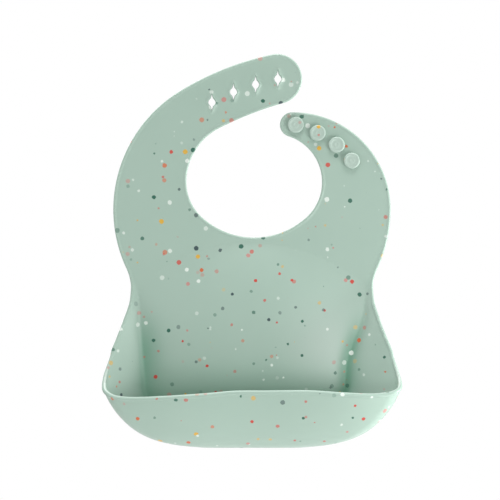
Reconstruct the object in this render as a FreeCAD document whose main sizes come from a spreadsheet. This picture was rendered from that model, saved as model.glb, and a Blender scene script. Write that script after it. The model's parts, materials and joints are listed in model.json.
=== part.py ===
"""A silicone baby bib: one moulded sheet with an open neck ring, two straps and a scoop pocket.

The bib hangs upright. X runs to the right as the front is looked at, -Y faces the front and +Z is up.
The origin is the middle of the neck opening, on the middle of the sheet's thickness. All sizes are millimetres.

The sheet bends everywhere in use. Here it is divided at the lines where it bends most, and each zone is
a solid of its own: a narrow slit at each bend line leaves room for the zones to turn about that line.
"""
import FreeCAD, Part
import Sketcher
import math
import os

Vector = FreeCAD.Vector
FRONT = Vector(0, -1, 0)

DRIVING_SIZES = {
    # the sheet
    "sheet_thickness": 2.0,
    "lip_width": 3.0,
    "lip_height": 0.8,
    "bend_slit": 0.7,
    # the neck opening: a wide bottom arc between two tighter side arcs
    "neck_offset": 1.7,
    "neck_half_width": 51.5,
    "neck_side_radius": 36.3,
    "neck_bottom_radius": 58.8,
    # the shoulders and the waist
    "shoulder_drop": 21.0,
    "shoulder_radius": 105.4,
    "waist_radius": 45.0,
    "waist_drop": 85.0,
    # the strap with the eyelets
    "hole_strap_inner_radius": 46.0,
    "hole_strap_inner_end": 117.0,
    "hole_strap_outer_end": 121.5,
    "hole_tip_radius": 19.0,
    "hole_tip_across": 19.0,
    "hole_tip_up": 78.3,
    # the strap with the pegs
    "peg_strap_outer_radius": 74.0,
    "peg_tip_radius": 9.4,
    # the star-shaped eyelets
    "eyelet_half_height": 6.0,
    "eyelet_half_width": 3.6,
    "eyelet_waist_across": 1.7,
    "eyelet_waist_up": 2.2,
    # the mushroom pegs
    "peg_stem_radius": 3.0,
    "peg_foot_radius": 4.0,
    "peg_foot_height": 0.8,
    "peg_stem_height": 2.8,
    "peg_head_radius": 6.0,
    "peg_head_height": 2.6,
    "peg_dimple_radius": 3.3,
    "peg_dimple_depth": 0.8,
    "peg_head_round": 0.7,
    # the chest folds and the pocket's walls
    "upper_fold_drop": 53.0,
    "lower_fold_drop": 72.0,
    "rim_lip_height": 4.0,
    "rim_lip_thickness": 3.2,
    "front_half_width": 72.0,
    "front_slit": 0.8,
    "panel_half_width": 72.0,
    "panel_foot_half_width": 58.0,
    "crease_radius": 7.0,
    "front_radius": 40.0,
    "front_bow": 1.5,
}

# Cross-sections of the side wings at falling levels: drop below the origin, where the crease lies,
# and how far out and how far forward the free edge stands. The lowest level joins the scoop's corner.
WING_KEYS = ("drop", "crease", "edge_out", "edge_forward")
WING_LEVELS = {
    "wing_top": (72.35, 83.5, 92.6, 0.6),
    "wing_waist": (88.0, 82.5, 92.4, 4.5),
    "wing_upper": (105.0, 81.5, 96.0, 12.0),
    "wing_middle": (125.0, 79.8, 103.0, 21.0),
    "wing_lower": (143.0, 78.2, 107.6, 28.5),
}

# Cross-sections of the scoop: drop, how far the back has come forward, the crease, the outermost corner
# and its rounding, and the flat of the front wall.
SCOOP_KEYS = (
    "drop", "back", "crease", "corner_out", "corner_forward", "corner_round", "front_half", "front_forward",
)
SCOOP_LEVELS = {
    "scoop_rim": (156.0, 0.0, 77.0, 120.5, 42.0, 9.0, 78.0, 47.0),
    "scoop_belly": (173.0, 0.0, 74.0, 112.0, 38.0, 9.0, 72.0, 42.5),
    "scoop_floor": (189.0, 0.0, 65.0, 92.0, 30.5, 9.0, 60.0, 35.0),
    "scoop_keel": (196.0, 3.0, 52.0, 75.0, 25.0, 8.0, 48.0, 29.0),
    "scoop_bottom": (199.6, 8.0, 34.0, 50.0, 18.5, 4.5, 32.0, 21.5),
}

# Bend lines across the straps: the middle of each line, the angle of the line in the front view,
# and how far its cut reaches inward and outward from the middle.
HOLE_STRAP_BENDS = [
    ((-77.5, -8.0), 178.0, (34.0, 34.0)),
    ((-66.0, 28.0), 150.0, (34.0, 34.0)),
    ((-41.8, 54.0), 120.0, (34.0, 34.0)),
    ((-5.7, 71.2), 109.0, (22.0, 32.0)),
]
PEG_STRAP_BENDS = [
    ((78.5, -8.0), 2.0, (34.0, 34.0)),
    ((69.9, 22.0), 43.5, (34.0, 34.0)),
    ((41.5, 40.0), 69.5, (20.0, 16.0)),
]
HOLE_STRAP_NAMES = ["hole_strap_root", "hole_strap_bend", "hole_strap_inner_eyelets", "hole_strap_end"]
PEG_STRAP_NAMES = ["peg_strap_root", "peg_strap_middle", "peg_strap_end"]
HOLE_STRAP_PAST_TIP = [(58.0, 70.0), (50.0, 106.0)]
PEG_STRAP_PAST_TIP = [(10.0, 25.0), (10.0, 55.0)]

EYELET_CENTRES = [(-30.5, 60.5), (-14.1, 68.4), (2.7, 74.1), (19.6, 78.3)]
PEG_CENTRES = [(33.2, 43.1), (49.8, 36.9), (64.2, 28.0), (75.6, 16.0)]

doc = FreeCAD.newDocument("silicone_bib")
sizes = doc.addObject("Spreadsheet::Sheet", "sizes")
sub_parts = []


def fill_sheet():
    """Writes every driving dimension into the sheet, each cell named by its alias."""
    rows = dict(DRIVING_SIZES)
    for level, values in WING_LEVELS.items():
        rows.update({f"{level}_{key}": value for key, value in zip(WING_KEYS, values)})
    for level, values in SCOOP_LEVELS.items():
        rows.update({f"{level}_{key}": value for key, value in zip(SCOOP_KEYS, values)})
    for row, (alias, value) in enumerate(rows.items(), start=1):
        sizes.set(f"A{row}", alias)
        sizes.set(f"B{row}", str(value))
        sizes.setAlias(f"B{row}", alias)
    doc.recompute()


def size(alias):
    """A driving dimension, read from the sheet."""
    return float(sizes.get(alias))


def keep(piece, label):
    """Names a finished sub-part and lists it for export."""
    piece.Label = label
    sub_parts.append(piece)
    return piece


def polar(centre, radius, degrees):
    angle = math.radians(degrees)
    return Vector(centre.x + radius * math.cos(angle), centre.y + radius * math.sin(angle), 0)


def angle_of(vector):
    return math.degrees(math.atan2(vector.y, vector.x))


def meeting_point(centre_a, radius_a, centre_b, radius_b):
    """The upper point at radius_a from one centre and radius_b from the other."""
    across = centre_b - centre_a
    distance = across.Length
    along = (radius_a ** 2 - radius_b ** 2 + distance ** 2) / (2 * distance)
    aside = math.sqrt(radius_a ** 2 - along ** 2)
    step = across / distance
    points = [centre_a + step * along + Vector(-step.y, step.x, 0) * aside * side for side in (1, -1)]
    return max(points, key=lambda point: point.y)


def joining_radius(centre, radius, degrees, tip, reach):
    """The radius of the arc that leaves a circle tangentially at an angle and passes the tip's centre at reach."""
    outward = polar(Vector(0, 0, 0), 1, degrees)
    to_tip = tip - centre
    extra = (to_tip.Length ** 2 - reach ** 2) / (2 * (reach - to_tip.dot(outward)))
    return radius + extra


def outline_arcs(inset):
    """The flat sheet's outline in the front view, from the waist round both straps: (centre, radius, from, to).

    Each arc runs counter-clockwise from one angle to the other. An inset moves the whole line into the material.
    """
    shoulder = Vector(0, -size("shoulder_drop"), 0)
    big = size("shoulder_radius")
    waist_reach = big + size("waist_radius")
    waist_y = -size("waist_drop")
    waist_x = math.sqrt(waist_reach ** 2 - (waist_y - shoulder.y) ** 2)
    waist_right, waist_left = Vector(waist_x, waist_y, 0), Vector(-waist_x, waist_y, 0)
    right_turn = angle_of(waist_right - shoulder)

    neck_x, half = size("neck_offset"), size("neck_half_width")
    side, bottom = size("neck_side_radius"), size("neck_bottom_radius")
    neck_right = Vector(neck_x + half - side, 0, 0)
    neck_left = Vector(neck_x - half + side, 0, 0)
    bottom_y = math.sqrt((bottom - side) ** 2 - (half - side) ** 2)
    neck_bottom = Vector(neck_x, bottom_y, 0)
    right_join = angle_of(neck_right - neck_bottom)

    peg_outer = Vector(size("shoulder_radius") - size("peg_strap_outer_radius"), shoulder.y, 0)
    peg_big, peg_tip_r = size("peg_strap_outer_radius"), size("peg_tip_radius")
    peg_tip = meeting_point(peg_outer, peg_big - peg_tip_r, neck_right, side + peg_tip_r)
    tip_outer = angle_of(peg_tip - peg_outer)
    tip_inner = angle_of(peg_tip - neck_right)

    inner, inner_end = size("hole_strap_inner_radius"), size("hole_strap_inner_end")
    outer_end = size("hole_strap_outer_end")
    tip = Vector(size("hole_tip_across"), size("hole_tip_up"), 0)
    tip_r = size("hole_tip_radius")
    strap_inner = Vector(neck_x - half + inner, 0, 0)
    long_inner = joining_radius(strap_inner, inner, inner_end, tip, inner + tip_r)
    long_outer = joining_radius(shoulder, big, outer_end, tip, big - tip_r)
    inner_centre = strap_inner - polar(Vector(0, 0, 0), long_inner - inner, inner_end)
    outer_centre = shoulder - polar(Vector(0, 0, 0), long_outer - big, outer_end)
    meets_inner = angle_of(tip - inner_centre)
    meets_outer = angle_of(tip - outer_centre)

    base_y = -size("lower_fold_drop") - size("bend_slit")
    waist_angle = math.degrees(math.asin((base_y - waist_y) / (size("waist_radius") + inset)))
    return [
        (waist_right, size("waist_radius") + inset, 180 + right_turn, 180 - waist_angle),
        (shoulder, big - inset, right_turn, 0),
        (peg_outer, peg_big - inset, 0, tip_outer),
        (peg_tip, peg_tip_r - inset, tip_outer, tip_inner + 180),
        (neck_right, side + inset, right_join, tip_inner),
        (neck_bottom, bottom + inset, -180 - right_join, right_join),
        (neck_left, side + inset, 180, 180 - right_join),
        (strap_inner, inner + inset, inner_end, 180),
        (inner_centre, long_inner + inset, meets_inner, inner_end),
        (tip, tip_r - inset, meets_inner - 180, meets_outer),
        (outer_centre, long_outer - inset, meets_outer, outer_end),
        (shoulder, big - inset, outer_end, 180 - right_turn),
        (waist_left, size("waist_radius") + inset, waist_angle, -right_turn),
    ]


def front_sketch(name, body):
    """An empty sketch in the front view: its x is X, its y is Z, and its normal faces the front."""
    sketch = body.newObject("Sketcher::SketchObject", name)
    plane = next(item for item in body.Origin.OriginFeatures if item.Role == "XZ_Plane")
    sketch.AttachmentSupport = [(plane, "")]
    sketch.MapMode = "FlatFace"
    return sketch


def draw_outline(sketch, inset):
    """Draws the sheet's outline with its arcs joined end to end, and closes it across the waist."""
    ends = []
    for centre, radius, start, stop in outline_arcs(inset):
        while stop < start:
            stop += 360
        circle = Part.Circle(centre, Vector(0, 0, 1), radius)
        arc = Part.ArcOfCircle(circle, math.radians(start), math.radians(stop))
        sketch.addGeometry(arc, False)
        ends.append((arc.StartPoint, arc.EndPoint))
    sketch.addGeometry(Part.LineSegment(ends[0][1], ends[-1][0]), False)


def draw_polygon(sketch, corners):
    """Draws a closed polygon whose corners are pairs of expressions, each bound to the sheet."""
    first = sketch.GeometryCount
    places = [tuple(float(sketch.evalExpression(text)) for text in corner) for corner in corners]
    count = len(corners)
    for index in range(count):
        start, stop = places[index], places[(index + 1) % count]
        sketch.addGeometry(Part.LineSegment(Vector(*start, 0), Vector(*stop, 0)), False)
    for index in range(count):
        before = first + (index - 1) % count
        sketch.addConstraint(Sketcher.Constraint("Coincident", before, 2, first + index, 1))
    for index, corner in enumerate(corners):
        for kind, text, place in zip(("DistanceX", "DistanceY"), corner, places[index]):
            number = sketch.addConstraint(Sketcher.Constraint(kind, -1, 1, first + index, 1, place))
            sketch.setExpression(f"Constraints[{number}]", text)


def make_flat_blank():
    """The flat part of the sheet in one piece: outline, raised lip along the edge, and the four eyelets."""
    body = doc.addObject("PartDesign::Body", "flat_blank")
    plate = front_sketch("sheet_outline", body)
    draw_outline(plate, 0)
    pad = body.newObject("PartDesign::Pad", "sheet_with_lip")
    pad.Profile = plate
    pad.setExpression("Length", "sizes.sheet_thickness + sizes.lip_height")
    plate.setExpression("AttachmentOffset.Base.z", "-sizes.sheet_thickness / 2")

    hollow = front_sketch("inside_the_lip", body)
    draw_outline(hollow, size("lip_width"))
    hollow.setExpression("AttachmentOffset.Base.z", "sizes.sheet_thickness / 2")
    recess = body.newObject("PartDesign::Pocket", "sheet_front")
    recess.Profile = hollow
    recess.Reversed = True
    recess.setExpression("Length", "sizes.lip_height + 1")

    stars = front_sketch("eyelets", body)
    for across, up in EYELET_CENTRES:
        draw_polygon(stars, star_corners(across, up))
    stars.setExpression("AttachmentOffset.Base.z", "-sizes.sheet_thickness")
    holes = body.newObject("PartDesign::Pocket", "eyelet_holes")
    holes.Profile = stars
    holes.Reversed = True
    holes.setExpression("Length", "3 * sizes.sheet_thickness")
    doc.recompute()
    return body


def star_corners(across, up):
    """The eight corners of a four-pointed star, as expressions."""
    tall, wide = "sizes.eyelet_half_height", "sizes.eyelet_half_width"
    near, high = "sizes.eyelet_waist_across", "sizes.eyelet_waist_up"
    offsets = [
        ("0", tall),
        (near, high),
        (wide, "0"),
        (near, f"-{high}"),
        ("0", f"-{tall}"),
        (f"-{near}", f"-{high}"),
        (f"-{wide}", "0"),
        (f"-{near}", high),
    ]
    return [(f"{across} + {dx}", f"{up} + {dy}") for dx, dy in offsets]


def make_zone(name, corners):
    """A tall block over a polygon of the front view, which picks one zone out of the blank."""
    points = [Vector(x, 0, z) for x, z in corners]
    sketch = doc.addObject("Sketcher::SketchObject", f"{name}_zone")
    sketch.Placement = FreeCAD.Placement(Vector(0, 0, 0), FreeCAD.Rotation(Vector(1, 0, 0), 90))
    for start, stop in zip(points, points[1:] + points[:1]):
        sketch.addGeometry(Part.LineSegment(Vector(start.x, start.z, 0), Vector(stop.x, stop.z, 0)), False)
    block = doc.addObject("Part::Extrusion", f"{name}_block")
    block.Base = sketch
    block.DirMode = "Custom"
    block.Dir = FRONT
    block.Symmetric = True
    block.Solid = True
    block.setExpression("LengthFwd", "10 * sizes.sheet_thickness")
    return block


def pick_zone(blank, name, corners):
    """One zone of the sheet as a sub-part."""
    zone = make_zone(name, corners)
    piece = doc.addObject("Part::Common", name)
    piece.Base = blank
    piece.Tool = zone
    return keep(piece, name)


def bend_edge(bend, side):
    """The inner and outer end of one edge of the slit at a bend line; side 1 is the edge nearer the tip."""
    (x, z), degrees, (inward, outward) = bend
    line = polar(Vector(0, 0, 0), 1, degrees)
    onward = Vector(-line.y, line.x, 0) * math.copysign(1, x)
    middle = Vector(x, z, 0) + onward * side * size("bend_slit") / 2
    ends = middle - line * inward, middle + line * outward
    return [(end.x, end.y) for end in ends]


def make_strap(blank, bends, names, past_tip):
    """The zones of one strap: each runs from one bend line to the next, and the last one past the tip."""
    for index, name in enumerate(names):
        near_in, near_out = bend_edge(bends[index], 1)
        if index + 1 < len(bends):
            far_in, far_out = bend_edge(bends[index + 1], -1)
        else:
            far_in, far_out = past_tip
        pick_zone(blank, name, [near_in, far_in, far_out, near_out])


def make_chest(blank):
    """The zone round the lower half of the neck opening, and the strip between the two chest folds."""
    left_in, left_out = bend_edge(HOLE_STRAP_BENDS[0], -1)
    right_in, right_out = bend_edge(PEG_STRAP_BENDS[0], -1)
    half_slit = size("bend_slit") / 2
    upper, lower = -size("upper_fold_drop"), -size("lower_fold_drop")
    wide = size("shoulder_radius") * 1.2
    chest_foot, strip_top, strip_foot = upper + half_slit, upper - half_slit, lower + half_slit
    pick_zone(blank, "chest_panel", [
        (-wide, chest_foot), (wide, chest_foot), right_out, right_in, left_in, left_out,
    ])
    pick_zone(blank, "chest_fold_strip", [
        (-wide, strip_foot), (wide, strip_foot), (wide, strip_top), (-wide, strip_top),
    ])


def make_peg(number, across, up):
    """A mushroom peg on the strap's front face: foot, stem, and a round head with a dimple."""
    body = doc.addObject("PartDesign::Body", f"peg_{number}")
    profile = body.newObject("Sketcher::SketchObject", f"peg_{number}_profile")
    plane = next(item for item in body.Origin.OriginFeatures if item.Role == "XY_Plane")
    profile.AttachmentSupport = [(plane, "")]
    profile.MapMode = "FlatFace"
    under = "-sizes.peg_stem_height"
    top = "-(sizes.peg_stem_height + sizes.peg_head_height)"
    dimple = f"{top} + sizes.peg_dimple_depth"
    draw_polygon(profile, [
        ("0", "0"),
        ("sizes.peg_foot_radius", "0"),
        ("sizes.peg_stem_radius", "-sizes.peg_foot_height"),
        ("sizes.peg_stem_radius", under),
        ("sizes.peg_head_radius", under),
        ("sizes.peg_head_radius", top),
        ("sizes.peg_dimple_radius", top),
        ("sizes.peg_dimple_radius - 0.4", dimple),
        ("0", dimple),
    ])
    turned = body.newObject("PartDesign::Revolution", f"peg_{number}_turned")
    turned.Profile = profile
    turned.ReferenceAxis = (profile, ["V_Axis"])
    turned.Angle = 360
    doc.recompute()
    rim = [
        f"Edge{index}"
        for index, edge in enumerate(turned.Shape.Edges, start=1)
        if isinstance(edge.Curve, Part.Circle) and abs(edge.Curve.Radius - size("peg_head_radius")) < 1e-6
    ]
    rounded = body.newObject("PartDesign::Fillet", f"peg_{number}_rounded")
    rounded.Base = (turned, rim)
    rounded.setExpression("Radius", "sizes.peg_head_round")
    body.setExpression("Placement.Base.x", str(across))
    body.setExpression("Placement.Base.y", "-sizes.sheet_thickness / 2")
    body.setExpression("Placement.Base.z", str(up))
    keep(body, f"peg_{number}")


def rounded_path(points, radii, offset):
    """A path of lines and arcs in the plan view, offset to its left. Each inner point has a rounding radius."""
    edges = []
    directions = [(b - a).normalize() for a, b in zip(points, points[1:])]
    lefts = [Vector(-d.y, d.x, 0) for d in directions]
    here = points[0] + lefts[0] * offset
    for index, radius in enumerate(radii):
        before, after = directions[index], directions[index + 1]
        turn = math.atan2(before.cross(after).z, before.dot(after))
        setback = radius * math.tan(abs(turn) / 2)
        corner = points[index + 1]
        side = 1 if turn > 0 else -1
        centre = corner - before * setback + lefts[index] * side * radius
        start = corner - before * setback + lefts[index] * offset
        stop = corner + after * setback + lefts[index + 1] * offset
        middle_way = (lefts[index] + lefts[index + 1]).normalize()
        middle = centre - middle_way * side * (radius - side * offset)
        edges.append(Part.LineSegment(here, start).toShape())
        edges.append(Part.Arc(start, middle, stop).toShape())
        here = stop
    edges.append(Part.LineSegment(here, points[-1] + lefts[-1] * offset).toShape())
    return edges


def strip_wire(points, radii, thickness, drop):
    """The closed cross-section at one level of an open wall that follows a path in the plan view."""
    left = rounded_path(points, radii, thickness / 2)
    right = rounded_path(points, radii, -thickness / 2)
    starts = left[0].Vertexes[0].Point, right[0].Vertexes[0].Point
    ends = left[-1].Vertexes[-1].Point, right[-1].Vertexes[-1].Point
    caps = [Part.LineSegment(*starts).toShape(), Part.LineSegment(*ends).toShape()]
    wire = Part.Wire(Part.__sortEdges__(left + [caps[1]] + right + [caps[0]]))
    wire.translate(Vector(0, 0, -drop))
    return wire


def level(table, keys, name):
    """One cross-section's values, read from the sheet."""
    return {key: size(f"{name}_{key}") for key in keys}


def unit(vector):
    return vector / vector.Length


def scoop_corner(row):
    """The middle line's points round one side of the scoop: crease, corner, and the end of the front's flat."""
    crease = Vector(row["crease"], -row["back"], 0)
    corner = Vector(row["corner_out"], -row["corner_forward"], 0)
    flat_end = Vector(row["front_half"], -row["front_forward"], 0)
    return crease, corner, flat_end


def corner_start(row):
    """Where the rounding of the scoop's corner begins, coming from the crease."""
    crease, corner, flat_end = scoop_corner(row)
    inward, onward = unit(crease - corner), unit(flat_end - corner)
    half_angle = math.acos(inward.dot(onward)) / 2
    return corner + inward * (row["corner_round"] / math.tan(half_angle))


def mirrored(points, side):
    return [Vector(side * point.x, point.y, 0) for point in points]


def make_wing(label, side):
    """A side wing: it leaves the flat panel at a rounded crease and flares outward and forward as it drops."""
    rim = level(SCOOP_LEVELS, SCOOP_KEYS, "scoop_rim")
    rows = [level(WING_LEVELS, WING_KEYS, name) for name in WING_LEVELS]
    sections = [(row["drop"], row["crease"], Vector(row["edge_out"], -row["edge_forward"], 0)) for row in rows]
    sections.append((rim["drop"], rim["crease"], corner_start(rim)))
    wires = []
    for drop, crease, edge in sections:
        path = mirrored([Vector(size("panel_half_width"), 0, 0), Vector(crease, 0, 0), edge], side)
        wires.append(strip_wire(path, [size("crease_radius")], size("sheet_thickness"), drop))
    make_loft(label, wires)


def front_point(row, across):
    """The front wall's middle line at a distance from the centre, between the flat's end and the corner."""
    _, corner, flat_end = scoop_corner(row)
    return corner + (flat_end - corner) * ((corner.x - across) / (corner.x - flat_end.x))


def make_side(label, side):
    """A side wall of the scoop: panel edge, crease, flared side, rounded corner and a stub of front wall."""
    wires = []
    for name in ("scoop_rim", "scoop_belly", "scoop_floor"):
        row = level(SCOOP_LEVELS, SCOOP_KEYS, name)
        crease, corner, flat_end = scoop_corner(row)
        start = Vector(size("panel_foot_half_width"), 0, 0)
        end = front_point(row, size("front_half_width"))
        path = mirrored([start, crease, corner, end], side)
        radii = [size("crease_radius"), row["corner_round"]]
        wires.append(strip_wire(path, radii, size("sheet_thickness"), row["drop"]))
    make_loft(label, wires)


def scoop_row(drop):
    """The scoop's cross-section at any drop, between the sheet's levels."""
    rows = [level(SCOOP_LEVELS, SCOOP_KEYS, name) for name in SCOOP_LEVELS]
    for upper, lower in zip(rows, rows[1:]):
        if drop <= lower["drop"]:
            share = (drop - upper["drop"]) / (lower["drop"] - upper["drop"])
            return {key: upper[key] + (lower[key] - upper[key]) * share for key in SCOOP_KEYS}
    raise ValueError(f"the scoop ends above {drop}")


def bowed_wire(half_width, depth, bow, thickness, drop):
    """A closed section of a wall bowed forward in the middle: depth is where its ends stand."""
    radius = (half_width ** 2 + bow ** 2) / (2 * bow)
    centre = Vector(0, -depth - bow + radius, 0)
    half_angle = math.degrees(math.asin(half_width / radius))
    corners, edges = [], []
    for reach in (radius + thickness / 2, radius - thickness / 2):
        left, middle, right = (polar(centre, reach, -90 + turn) for turn in (-half_angle, 0, half_angle))
        edges.append(Part.Arc(left, middle, right).toShape())
        corners.append((left, right))
    for outer, inner in zip(*corners):
        edges.append(Part.LineSegment(outer, inner).toShape())
    wire = Part.Wire(Part.__sortEdges__(edges))
    wire.translate(Vector(0, 0, -drop))
    return wire


def make_front(label, drops, thickness):
    """A band of the front wall, free at both sides so that it can swing about the floor's front edge."""
    half_width = size("front_half_width") - size("front_slit")
    wires = []
    for drop in drops:
        depth = -front_point(scoop_row(drop), half_width).y
        wires.append(bowed_wire(half_width, depth, size("front_bow"), thickness, drop))
    make_loft(label, wires)


def loop_wire(row, offset, drop):
    """The scoop's whole closed cross-section. A positive offset lies inside the middle line."""
    right = scoop_corner(row)
    left = mirrored(right, -1)
    start = Vector(0, right[0].y, 0)
    points = [start] + left + list(right[::-1]) + [start]
    bends = [size("crease_radius"), row["corner_round"], size("front_radius")]
    wire = Part.Wire(Part.__sortEdges__(rounded_path(points, bends + bends[::-1], offset)))
    wire.translate(Vector(0, 0, -drop))
    return wire


def make_floor(label):
    """The scoop's floor: a shallow dish that closes the pocket below the walls."""
    half = size("sheet_thickness") / 2
    rows = [level(SCOOP_LEVELS, SCOOP_KEYS, name) for name in ("scoop_floor", "scoop_keel", "scoop_bottom")]
    outside = Part.makeLoft([loop_wire(row, -half, row["drop"]) for row in rows], True, False)
    inner_cuts = zip(rows, (half, half, 0.0), (0.0, 0.7 * half, 2 * half))
    inside = Part.makeLoft([loop_wire(row, gap, row["drop"] - lift) for row, gap, lift in inner_cuts], True, False)
    piece = doc.addObject("Part::Feature", label)
    piece.Shape = outside.cut(inside)
    keep(piece, label)


def make_lower_panel(label):
    """The flat back of the pocket, from the lower chest fold down to the floor, narrower beside the scoop."""
    body = doc.addObject("PartDesign::Body", label)
    sketch = front_sketch("lower_panel_outline", body)
    wide, narrow = "sizes.panel_half_width", "sizes.panel_foot_half_width"
    top = "-(sizes.lower_fold_drop + sizes.bend_slit / 2)"
    step, foot = "-sizes.scoop_rim_drop", "-sizes.scoop_floor_drop"
    draw_polygon(sketch, [
        (wide, top), (f"-{wide}", top), (f"-{wide}", step), (f"-{narrow}", step),
        (f"-{narrow}", foot), (narrow, foot), (narrow, step), (wide, step),
    ])
    sketch.setExpression("AttachmentOffset.Base.z", "-sizes.sheet_thickness / 2")
    pad = body.newObject("PartDesign::Pad", "lower_panel_sheet")
    pad.Profile = sketch
    pad.setExpression("Length", "sizes.sheet_thickness")
    keep(body, label)


def make_loft(label, wires):
    """A wall lofted through its cross-sections."""
    piece = doc.addObject("Part::Feature", label)
    piece.Shape = Part.makeLoft(wires, True, False)
    return keep(piece, label)


fill_sheet()
flat_blank = make_flat_blank()
make_chest(flat_blank)
make_strap(flat_blank, HOLE_STRAP_BENDS, HOLE_STRAP_NAMES, HOLE_STRAP_PAST_TIP)
make_strap(flat_blank, PEG_STRAP_BENDS, PEG_STRAP_NAMES, PEG_STRAP_PAST_TIP)
for peg_number, (peg_x, peg_z) in enumerate(PEG_CENTRES, start=1):
    make_peg(peg_number, peg_x, peg_z)
for piece_side, side_name in ((-1, "left"), (1, "right")):
    make_wing(f"{side_name}_wing", piece_side)
    make_side(f"pocket_{side_name}_side", piece_side)
make_lower_panel("lower_panel")
rim_drop = size("scoop_rim_drop")
lip_foot = rim_drop + size("rim_lip_height")
floor_drop = size("scoop_floor_drop")
front_foot = floor_drop - size("front_slit")
make_front("pocket_rim", [rim_drop, lip_foot], size("rim_lip_thickness"))
make_front("pocket_front", [lip_foot, size("scoop_belly_drop"), front_foot], size("sheet_thickness"))
make_floor("pocket_floor")
doc.recompute()

os.makedirs("parts", exist_ok=True)
for item in doc.Objects:
    if "Invalid" in item.State or "Error" in item.State:
        raise RuntimeError(f"{item.Name} did not recompute: {item.State}")
for sub_part in sub_parts:
    shape = sub_part.Shape
    if shape.isNull() or not shape.isValid() or len(shape.Solids) != 1:
        raise RuntimeError(f"{sub_part.Label} is not one sound solid")
    shape.exportStep(f"parts/{sub_part.Label}.step")
    print(sub_part.Label, round(shape.Volume, 1), [round(v, 1) for v in (
        shape.BoundBox.XMin, shape.BoundBox.XMax, shape.BoundBox.YMin, shape.BoundBox.YMax,
        shape.BoundBox.ZMin, shape.BoundBox.ZMax)])
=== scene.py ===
"""A silicone baby bib with a scoop pocket, a strap with four star eyelets and a strap with four pegs.

The whole sheet is drawn once on a flat chart: across it runs the distance round the bib from its middle
line, and up it runs the level. The chart is cut into triangles, rolled up into the bib's middle surface,
given its thickness, and then divided into pieces along lines between the joints. Lengths in the code are
millimetres.
"""
import bpy
import json
import math
import numpy as np
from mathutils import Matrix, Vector
from mathutils.geometry import delaunay_2d_cdt


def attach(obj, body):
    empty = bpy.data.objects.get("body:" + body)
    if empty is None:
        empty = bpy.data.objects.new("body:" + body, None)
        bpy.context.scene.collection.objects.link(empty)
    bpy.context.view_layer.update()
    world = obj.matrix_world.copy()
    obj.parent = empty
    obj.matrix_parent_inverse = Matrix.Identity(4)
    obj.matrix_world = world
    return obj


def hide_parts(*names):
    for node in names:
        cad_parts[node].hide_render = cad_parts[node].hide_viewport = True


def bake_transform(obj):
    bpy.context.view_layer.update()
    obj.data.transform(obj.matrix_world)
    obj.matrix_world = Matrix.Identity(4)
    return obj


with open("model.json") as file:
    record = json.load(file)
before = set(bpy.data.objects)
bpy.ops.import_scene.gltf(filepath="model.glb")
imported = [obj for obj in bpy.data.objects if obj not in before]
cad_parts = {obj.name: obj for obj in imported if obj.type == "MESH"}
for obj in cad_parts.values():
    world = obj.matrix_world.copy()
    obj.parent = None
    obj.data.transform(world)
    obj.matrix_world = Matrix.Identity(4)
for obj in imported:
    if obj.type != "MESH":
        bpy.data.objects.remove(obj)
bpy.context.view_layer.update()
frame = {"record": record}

MM = 0.001

# Attributes of every visible point: where it was moulded, and how much painted shade or painted highlight its
# colour carries.
MOULDED, PAINTED_LIGHT = "moulded_place", "painted_light"

# ---------------------------------------------------------------- flat outline

SHOULDER = (0.0, -21.0)
SHOULDER_RADIUS = 105.4
WAIST = (136.07, -85.0)
WAIST_RADIUS = 45.0
NECK_RIGHT = (16.9, 0.0)
NECK_LEFT = (-13.5, 0.0)
NECK_SIDE_RADIUS = 36.3
NECK_BOTTOM = (1.7, 16.62)
NECK_BOTTOM_RADIUS = 58.8
PEG_STRAP_OUTER = (31.4, -21.0)
PEG_STRAP_RADIUS = 74.0
PEG_TIP_RADIUS = 9.4
HOLE_STRAP_INNER = (-3.8, 0.0)
HOLE_STRAP_INNER_RADIUS = 46.0
HOLE_STRAP_INNER_END = 117.0
HOLE_STRAP_OUTER_END = 121.5
HOLE_TIP = (19.0, 78.3)
HOLE_TIP_RADIUS = 19.0
STAR_CENTRES = [(-30.5, 60.5), (-14.1, 68.4), (2.7, 74.1), (19.6, 78.3)]
PEG_CENTRES = [(33.2, 43.1), (49.8, 36.9), (64.2, 28.0), (75.6, 16.0)]
PEG_BODIES = ["peg_strap_3", "peg_strap_2", "peg_strap_2", "peg_strap_1"]

# The spacing of points along an outline, and the level where the flat yoke ends and the wings begin.
OUTLINE_STEP = 1.8
FLAT_END = -66.0


def angle_of(centre, point):
    """The direction from a centre to a point, in degrees."""
    return math.degrees(math.atan2(point[1] - centre[1], point[0] - centre[0]))


def arc(centre, radius, start, stop, step=OUTLINE_STEP):
    """Points along an arc, from one angle in degrees to the other."""
    count = max(2, int(abs(math.radians(stop - start)) * radius / step))
    angles = np.radians(np.linspace(start, stop, count + 1))
    return np.column_stack([centre[0] + radius * np.cos(angles), centre[1] + radius * np.sin(angles)])


def leaving_arc(centre, radius, degrees, tip, reach):
    """The circle that leaves another one tangentially at an angle and passes the tip's centre at reach."""
    outward = np.array([math.cos(math.radians(degrees)), math.sin(math.radians(degrees))])
    to_tip = np.array(tip) - np.array(centre)
    extra = (to_tip @ to_tip - reach ** 2) / (2 * (reach - to_tip @ outward))
    return tuple(np.array(centre) - outward * extra), radius + extra


def circle_meeting(centre_a, radius_a, centre_b, radius_b):
    """The upper of the two points at given distances from two centres."""
    a, b = np.array(centre_a), np.array(centre_b)
    gap = np.linalg.norm(b - a)
    along = (radius_a ** 2 - radius_b ** 2 + gap ** 2) / (2 * gap)
    aside = math.sqrt(radius_a ** 2 - along ** 2)
    step = (b - a) / gap
    options = [a + step * along + np.array([-step[1], step[0]]) * aside * side for side in (1, -1)]
    return max(options, key=lambda point: point[1])


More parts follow.
